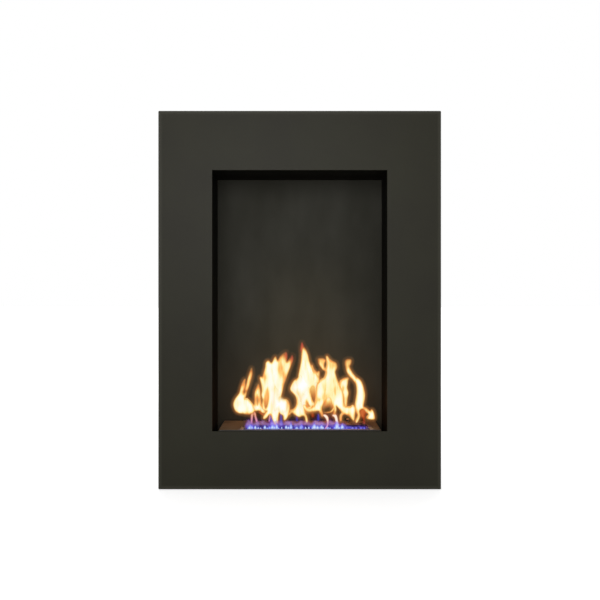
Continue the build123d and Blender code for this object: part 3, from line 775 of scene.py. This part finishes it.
flame("flame_far_right", -126, [
    (108.5, 155), (114, 158.5), (120.5, 157), (120, 149.5), (117, 141.5), (122.5, 128.5),
    (132, 117), (142.5, 109), (148.5, 97), (152.5, 78), (151.5, 62), (149.5, 48.5), (157.5, 42.5),
    (166, 35.5), (170.5, 39), (174, 32), (175, 20.5), (168, 19.5), (158, 21.5), (161.5, 26.5),
    (163, 30.5), (157, 35), (151.5, 40), (147, 44), (140, 39), (141.5, 26.5), (134, 12.5),
    (131.5, 14.5), (136, 26.5), (132, 37.5), (130.5, 51), (133.5, 67), (135.5, 83.5),
    (133.5, 99.5), (126.5, 110.5), (117, 121), (111, 132), (108, 145.5),
], cool=[(114, 156, 14, 0.6), (110, 140, 8, 0.4), (134, 30, 12, 0.45)])
flame("flame_leg_left", -134, [
    (56, 29), (61, 28.5), (65.5, 24.5), (66.8, 17), (66.5, 7), (62.5, -2), (60, -2.5), (63.3, 5),
    (64, 14), (62.5, 21), (60, 25),
], cool=[(66, 8, 8, 0.35)], material=pink_fire, half=4, edge=4)
flame("flame_leg_right", -132, [
    (77.5, 28.5), (83.5, 30), (86.5, 24.5), (88.5, 14), (90.8, 4.5), (88.3, 4), (85.8, 13),
    (83.5, 22), (81, 26.5),
], material=pink_fire, half=4, edge=4)
flame("flame_red_right", -122, [
    (140.5, 38), (148.5, 44.5), (156.5, 37.5), (154.5, 26), (153, 15), (153, 6.5), (150, 6.5),
    (149.5, 18), (143, 26),
], material=red_fire)
flame("flame_streak_left", -126, [
    (-114, 29.5), (-109, 32), (-110.5, 24), (-112, 10.5), (-114.5, 10), (-114.5, 21.5),
], material=magenta_fire, half=2.5, edge=3)
flame("flame_streak_right", -126, [
    (-108.5, 35), (-104, 32), (-102.5, 24), (-99.5, 13.5), (-102.5, 12.5), (-105.5, 22.5),
], material=magenta_fire, half=2.5, edge=3)
flame("flame_streak_middle", -126, [
    (-70.5, 30.5), (-66, 28), (-68, 18.5), (-70, 13.5), (-72.5, 14.5), (-71.5, 24),
], material=magenta_fire, half=2.5, edge=3)
flame("flame_core_left", -138, [
    (-52, 70), (-46, 73), (-36, 66), (-30, 62), (-28, 52), (-31, 40), (-38, 36), (-46, 38),
    (-52, 44), (-58, 40), (-62, 50), (-60, 70), (-58, 96), (-54, 92),
], material=white_fire, half=3.0, edge=14)
flame("flame_core_middle", -127.5, [
    (3, 124), (12, 122), (22, 112), (27, 100), (22, 92), (14, 84), (6, 72), (2, 60), (-1, 72),
    (-7, 80), (-15, 88), (-17, 93), (-12, 104), (-2, 112),
], material=white_fire, half=3.0, edge=15)
flame("flame_arch", -118, [
    (51, 50), (54, 62), (60, 74), (68, 80), (76, 74), (80, 62), (81, 48), (76, 42), (66, 38),
    (56, 42),
], cool=[(67, 38, 20, 0.97), (66, 54, 14, 0.4)], half=4.0, edge=12)
flame("flame_thin_arc", -119, [
    (80.5, 44), (77.5, 38), (71.5, 34), (63.5, 32.8), (58.5, 33.4), (63.5, 33.8), (70.8, 35),
    (76.3, 39), (79.5, 44.5),
], cool=[(60, 33, 12, 0.5)], half=1.5, edge=7)
flame("flame_wisp_left", -131, [
    (-67.5, 29), (-65, 24), (-61, 13), (-56.5, 5), (-58, 0), (-66, 0), (-68.5, 8), (-69, 19),
], material=wisp_fire, half=2.5, edge=4)
flame("flame_wisp_core", -136, [
    (-66, 16), (-62, 10), (-57, 4), (-58, 0), (-66, 0), (-68, 7),
], material=jet_fire, half=2.0, edge=7)
flame("flame_wisp_middle", -112, [
    (-45.5, 27), (-42.5, 27), (-41.5, 14), (-40, 3), (-47.5, 3), (-46.5, 14),
], material=wisp_fire, half=2.5, edge=4)
flame("flame_wisp_low", -112, [
    (-8, 22), (-5, 22), (-4.5, 12), (-8.5, 12),
], material=wisp_fire, half=2.0, edge=7)
flame("flame_wisp_right", -112, [
    (42.5, 27), (45.5, 27), (46.5, 14), (41.5, 14),
], material=wisp_fire, half=2.5, edge=5)
flame("flame_red_left", -112, [
    (-97, 36), (-90, 32.5), (-85, 27), (-87.5, 25.5), (-95, 31),
], material=red_fire, half=2.5, edge=5)
flame("flame_red_middle", -112, [
    (27, 32), (33.5, 31), (34.5, 23), (31, 20), (27.5, 23),
], material=red_fire, half=2.5, edge=8)
flame("flame_tip_middle", -134, [
    (1.5, 181), (2.5, 190), (4.5, 198), (7, 197), (8.5, 189), (6, 182), (4, 176),
], material=tip_fire, half=1.5, edge=4)
flame("flame_tip_left", -140, [
    (-40, 163), (-35.5, 171), (-32, 176), (-29.5, 169), (-30.5, 159), (-33.5, 154), (-37, 157),
], material=tip_fire, half=1.5, edge=4)
flame("flame_tip_left_low", -140, [
    (-23, 158), (-20, 165), (-17.5, 169), (-15, 162), (-17, 154), (-20, 150),
], material=tip_fire, half=1.5, edge=4)

fire_left, fire_right = -122.0, 154.0  # mm, where the fire comes out of the slot
slot_fire = -145.2  # mm, the front of the fire in the slot
cluster_wave, cluster_trough = 51.0, -36.5  # mm, the pitch of its clusters, and a gap between two
rod_start, rod_ramp = 88, 24  # mm: from here on, beside the pull rod, the base sinks
rod_drop = 0.7  # the share of its height that it sinks by
crest_steps = 56
# the base's foot, and then its crest from the right: 15 mm high, with two ripples
base = [(fire_left, -1), (fire_left / 2, -1.5), (0, -1), (fire_right / 2, -1.5), (fire_right, -1)]
for k in range(crest_steps + 1):
    x = fire_right - (fire_right - fire_left) * k / crest_steps
    tall = 1 - rod_drop * min(max((x - rod_start) / rod_ramp, 0), 1)
    base.append((x, tall * (15 + 2.2 * math.sin(x / 5.1) + 1.8 * math.sin(x / 2.7 + 1))))
flame(
    "flame_base",
    slot_fire + 4,
    base,
    cool=[(cluster_trough + cluster_wave * k, 3, 9, 0.55) for k in range(-1, 3)],
    material=blue_fire,
    half=3.0,
    sway=0.0,
)


def jet_tree():
    """A row of small tapered flame jets along a line, each with its own size and place.

    They stand in clusters Wave apart: about Trough, and each Wave from there, they are as small as
    the share Weakest.
    """
    tree = bpy.data.node_groups.new("flame_jets", "GeometryNodeTree")
    for name, kind in (
        ("Count", "Int"),
        ("Start", "Vector"),
        ("Step", "Vector"),
        ("Stray", "Vector"),
        ("Smallest", "Vector"),
        ("Largest", "Vector"),
        ("Seed", "Int"),
        ("Wave", "Float"),
        ("Trough", "Float"),
        ("Weakest", "Float"),
        ("Material", "Material"),
    ):
        tree.interface.new_socket(name=name, in_out="INPUT", socket_type="NodeSocket" + kind)
    tree.interface.new_socket(name="Geometry", in_out="OUTPUT", socket_type="NodeSocketGeometry")
    given = add(tree, "NodeGroupInput").outputs
    line = {"Count": given["Count"], "Start Location": given["Start"], "Offset": given["Step"]}
    line = add(tree, "GeometryNodeMeshLine", line)
    back = add(tree, "ShaderNodeVectorMath", {0: given["Stray"], "Scale": -1.0}, operation="SCALE")
    stray = {"Min": back, "Max": given["Stray"], "Seed": given["Seed"]}
    stray = add(tree, "FunctionNodeRandomValue", stray, data_type="FLOAT_VECTOR")
    roots = add(tree, "GeometryNodeSetPosition", {"Geometry": line, "Offset": stray})
    drop = add(tree, "GeometryNodeMeshUVSphere", {"Segments": 16, "Rings": 12, "Radius": 1.0})
    spot = add(tree, "GeometryNodeInputPosition")
    axes = add(tree, "ShaderNodeSeparateXYZ", {"Vector": spot}).outputs
    flat = add(tree, "ShaderNodeCombineXYZ", {"X": axes["X"], "Z": axes["Z"]})
    away = add(tree, "ShaderNodeVectorMath", {0: flat}, operation="LENGTH").outputs["Value"]
    # warmest on the drop's axis, cold at its rim
    warmth = add(tree, "ShaderNodeMapRange", {"Value": away, **spread(0.0, 1.0, 1.0, 0.15)})
    drop = {"Geometry": drop, "Name": "warmth", "Value": warmth}
    drop = add(tree, "GeometryNodeStoreNamedAttribute", drop, data_type="FLOAT", domain="POINT")
    # a quarter as wide at its tip
    taper = add(tree, "ShaderNodeMapRange", {"Value": axes["Z"], **spread(1.0, 0.25, -0.4, 1.0)})
    narrow = add(tree, "ShaderNodeCombineXYZ", {"X": taper, "Y": taper, "Z": 1.0})
    slim = add(tree, "ShaderNodeVectorMath", {0: spot, 1: narrow}, operation="MULTIPLY")
    drop = add(tree, "GeometryNodeSetPosition", {"Geometry": drop, "Position": slim})
    size = {"Min": given["Smallest"], "Max": given["Largest"], "Seed": given["Seed"]}
    size = add(tree, "FunctionNodeRandomValue", size, data_type="FLOAT_VECTOR")
    along = add(tree, "ShaderNodeMath", {0: axes["X"], 1: given["Trough"]}, operation="SUBTRACT")
    turns = add(tree, "ShaderNodeMath", {0: along, 1: given["Wave"]}, operation="DIVIDE")
    angle = add(tree, "ShaderNodeMath", {0: turns, 1: math.tau}, operation="MULTIPLY")
    swell = add(tree, "ShaderNodeMath", {0: angle}, operation="COSINE")
    share = {"Value": swell, **spread(given["Weakest"], 1.0, 1.0, -1.0)}
    share = add(tree, "ShaderNodeMapRange", share)
    size = add(tree, "ShaderNodeVectorMath", {0: size, "Scale": share}, operation="SCALE")
    jets = {"Points": roots, "Instance": drop, "Scale": size}
    jets = add(tree, "GeometryNodeInstanceOnPoints", jets)
    jets = add(tree, "GeometryNodeRealizeInstances", {"Geometry": jets})
    jets = {"Geometry": jets, "Material": given["Material"]}
    jets = add(tree, "GeometryNodeSetMaterial", jets)
    add(tree, "NodeGroupOutput", {"Geometry": jets})
    return tree


def grown(name, tree, values, body):
    """The plain mesh that a Geometry Nodes tree gives with these named values."""
    carrier = bpy.data.objects.new(name + "_carrier", bpy.data.meshes.new(name + "_carrier"))
    bpy.context.scene.collection.objects.link(carrier)
    modifier = carrier.modifiers.new(name, "NODES")
    modifier.node_group = tree
    sockets = {item.name: item.identifier for item in tree.interface.items_tree}
    for key, value in values.items():
        modifier[sockets[key]] = value
    bpy.context.view_layer.update()
    evaluated = carrier.evaluated_get(bpy.context.evaluated_depsgraph_get())
    mesh = bpy.data.meshes.new_from_object(evaluated)
    mesh.name = name
    carrier.modifiers.remove(modifier)
    bpy.data.objects.remove(carrier)
    shown(name, mesh, body)


jets = jet_tree()
# Tall jets, low ones between them, and small deep blue ones beside the pull rod. The places are
# the first jet's foot, how far each jet strays, and the smallest and the largest jet, in mm.
for name, material, count, seed, weakest, step, places in (
    ("tall", jet_fire, 14, 4, 0.35, 16.6, (
        (-116, 0, 2), (4.5, 0.6, 1), (8, 1, 10), (15, 1.6, 19),
    )),
    ("low", jet_fire, 22, 9, 0.45, 10, (
        (-118, -0.6, 0.5), (4, 0.4, 0.8), (6, 0.7, 5.6), (10.4, 1, 10),
    )),
    ("right", wisp_fire, 6, 3, 1.0, 10.2, (
        (101, -0.6, 0.5), (3, 0.4, 0.6), (4, 0.7, 2.4), (7, 1, 4.4),
    )),
):
    (across, forward, foot), stray, smallest, largest = places
    values = {
        "Count": count,
        "Start": (across * MM, (slot_fire + forward) * MM, plate_top + foot * MM),
        "Step": (step * MM, 0, 0),
        "Stray": [c * MM for c in stray],
        "Smallest": [c * MM for c in smallest],
        "Largest": [c * MM for c in largest],
        "Seed": seed,
        "Wave": cluster_wave * MM,
        "Trough": cluster_trough * MM,
        "Weakest": weakest,
        "Material": material,
    }
    grown("flame_jets_" + name, jets, values, "burner")

# Each flame gets a mesh of its own.
for obj in list(bpy.context.scene.objects):
    if obj.name.startswith("flame_"):
        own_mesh(obj)


# ---- Ceramic wool ----
grid_first = (-119.0, -140.7)  # mm, the middle of the first hole of the grid over the wool
grid_pitch = 9.0  # mm
grid_holes = (31, 4)  # across, and front to back
holed_margin = 5  # mm round the holes' middles that get fine faces
fine_step = 1.25  # mm between the points there
bulge_radius, bulge_high = 2.6, 0.6  # mm: how wide and how far the wool rises into each hole
rim_wide, rim_deep = 4, 2.5  # mm: the band along its rim that rounds down, and how far
lump_high = 0.25  # mm, the lumps in its face between the holes


def wool_pad():
    """Soaked ceramic wool: fills its tray and bulges a little into the holes of its grid."""
    low, high = (np.array(corner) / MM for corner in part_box("ceramic_wool"))
    lines = []
    for axis in (0, 1):
        start = grid_first[axis] - holed_margin
        past = grid_first[axis] + grid_pitch * (grid_holes[axis] - 1) + holed_margin
        before = np.linspace(low[axis], start, 8)[:-1]
        holed = np.arange(start, past, fine_step)
        lines.append(np.concatenate([before, holed, np.linspace(past, high[axis], 12)]))
    x, y = np.meshgrid(*lines)
    columns = np.clip(np.round((x - grid_first[0]) / grid_pitch), 0, grid_holes[0] - 1)
    rows = np.clip(np.round((y - grid_first[1]) / grid_pitch), 0, grid_holes[1] - 1)
    off_x = x - grid_first[0] - columns * grid_pitch
    off_y = y - grid_first[1] - rows * grid_pitch
    bulge = bulge_high * np.clip(1 - (np.hypot(off_x, off_y) / bulge_radius) ** 2, 0, 1)
    rim = np.minimum(np.minimum(x - low[0], high[0] - x), np.minimum(y - low[1], high[1] - y))
    sunk = rim_deep * np.clip(1 - rim / rim_wide, 0, 1) ** 2
    lumps = lump_high * (np.sin(x / 7.3) * np.sin(y / 5.1) + 1) * (bulge == 0)
    top = high[2] + bulge - sunk - lumps
    bottom = low[2] + sunk * 0.4
    sheets = [np.stack([x, y, z], axis=-1).reshape(-1, 3) for z in (top, bottom)]
    points = (np.concatenate(sheets) * MM).tolist()
    wide, deep = len(lines[0]), len(lines[1])
    under = wide * deep
    faces = []
    for r in range(deep - 1):
        for c in range(wide - 1):
            a = r * wide + c
            faces.append((a, a + 1, a + wide + 1, a + wide))
            faces.append((under + a, under + a + wide, under + a + wide + 1, under + a + 1))
    edge = list(range(wide))
    edge += [r * wide + wide - 1 for r in range(1, deep)]
    edge += [(deep - 1) * wide + c for c in range(wide - 2, -1, -1)]
    edge += [r * wide for r in range(deep - 2, 0, -1)]
    for a, b in zip(edge, edge[1:] + edge[:1]):
        faces.append((a, under + a, under + b, b))
    pad = piece("ceramic_wool_pad", points, faces, finish["ceramic_wool"], "burner")
    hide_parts("ceramic_wool")


wool_pad()


# ---- Floor, light and camera ----
def seen_directly(tree):
    """1 for rays from the camera, and for those that metal and glass send on, and else 0."""
    path = add(tree, "ShaderNodeLightPath").outputs
    seen = path["Is Camera Ray"]
    for ray in ("Is Glossy Ray", "Is Transmission Ray"):
        seen = add(tree, "ShaderNodeMath", {0: seen, 1: path[ray]}, operation="MAXIMUM").outputs[0]
    return seen


def studio_white():
    """Matt white studio floor: it keeps a soft shadow, and is plain white far off."""
    material = bpy.data.materials.new("studio_floor")
    material.use_nodes = True
    tree = material.node_tree
    shader = tree.nodes["Principled BSDF"]
    matt = {"Base Color": linear("#d8d8d8"), "Roughness": 0.9, "Specular IOR Level": 0.1}
    feed(tree, shader, matt)
    where = add(tree, "ShaderNodeTexCoord").outputs["Object"]
    away = add(tree, "ShaderNodeVectorMath", {0: where}, operation="LENGTH").outputs["Value"]
    fade = spread(0.6, 1.0, 0.7, 3.0)  # from 0.7 to 3 metres away
    level = add(tree, "ShaderNodeMapRange", {"Value": away, **fade})
    lift = add(tree, "ShaderNodeEmission", {"Color": (1, 1, 1, 1), "Strength": level})
    total = add(tree, "ShaderNodeAddShader", {0: shader, 1: lift})
    mix = add(tree, "ShaderNodeMixShader", {0: seen_directly(tree), 1: shader, 2: total})
    feed(tree, tree.nodes["Material Output"], {"Surface": mix})
    return material


floor_z = cad_box[0][2] - 0.5 * MM
bpy.ops.mesh.primitive_plane_add(size=80, location=(0, 0, floor_z))
floor = bpy.context.object
floor.name = "studio_floor"
floor.data.materials.append(studio_white())

world = bpy.data.worlds.new("studio")
world.use_nodes = True
bpy.context.scene.world = world
sky = world.node_tree
level = {"Value": seen_directly(sky), "To Min": 0.42, "To Max": 1.0}
level = add(sky, "ShaderNodeMapRange", level)
feed(sky, sky.nodes["Background"], {"Color": (1, 1, 1, 1), "Strength": level})


def lamp(name, place, aim, size, power, colour="#ffffff"):
    """A soft rectangular lamp at place that points at aim."""
    data = bpy.data.lights.new(name, "AREA")
    data.shape = "RECTANGLE"
    data.size, data.size_y = size
    data.energy = power
    data.color = linear(colour)[:3]
    obj = bpy.data.objects.new(name, data)
    obj.location = place
    obj.rotation_euler = (Vector(aim) - Vector(place)).to_track_quat("-Z", "Y").to_euler()
    obj.visible_camera = False
    bpy.context.scene.collection.objects.link(obj)


# place, aim and size in metres, and power in watts
lamp("key", (-0.2, -1.55, 0.2), (-0.05, -0.16, -0.05), (1.0, 0.8), 9.5)
lamp("fill", (1.7, -2.0, 0.1), (0, -0.16, -0.3), (1.2, 1.2), 1.5)
lamp("above", (0.0, -0.4, 2.2), (0, 0, -0.2), (1.4, 1.4), 7)
lamp("back_left", (-0.9, 2.2, 0.8), (0, 0, -0.25), (1.2, 1.2), 16)
lamp("back_right", (1.1, 2.1, 0.4), (0, 0, -0.25), (1.2, 1.2), 10)
# The fire's own light: a warm patch on the wall, and a row of small lamps over the plate, closer
# together than they are high, so that they give one even glow.
lamp("fire_on_wall", (0.01, -0.11, -0.34), (0.01, 0, -0.34), (0.2, 0.34), 0.084, "#ffe2a8")
glow_count, glow_left, glow_right = 8, -0.1, 0.135
glow_power = 0.44  # watts, all of them together
for number in range(glow_count):
    glow = bpy.data.lights.new(f"fire_glow_{number + 1}", "POINT")
    glow.energy = glow_power / glow_count
    glow.color = linear("#ffae74")[:3]
    glow.shadow_soft_size = 0.03
    glow_place = bpy.data.objects.new(glow.name, glow)
    across = glow_left + (glow_right - glow_left) * number / (glow_count - 1)
    glow_place.location = (across, -0.07, -0.477)
    glow_place.visible_camera = False
    bpy.context.scene.collection.objects.link(glow_place)

# Level and square to the frame, 1.66 m in front of it, as the photograph was taken.
camera_data = bpy.data.cameras.new("camera")
camera_data.sensor_width = 36
camera_data.lens = 43.456
camera = bpy.data.objects.new("camera", camera_data)
camera.location = (0.0007, -1.8292, -0.2355)
camera.rotation_euler = (math.radians(90), 0, 0)
bpy.context.scene.collection.objects.link(camera)
bpy.context.scene.camera = camera
bpy.context.scene.view_settings.view_transform = "Standard"
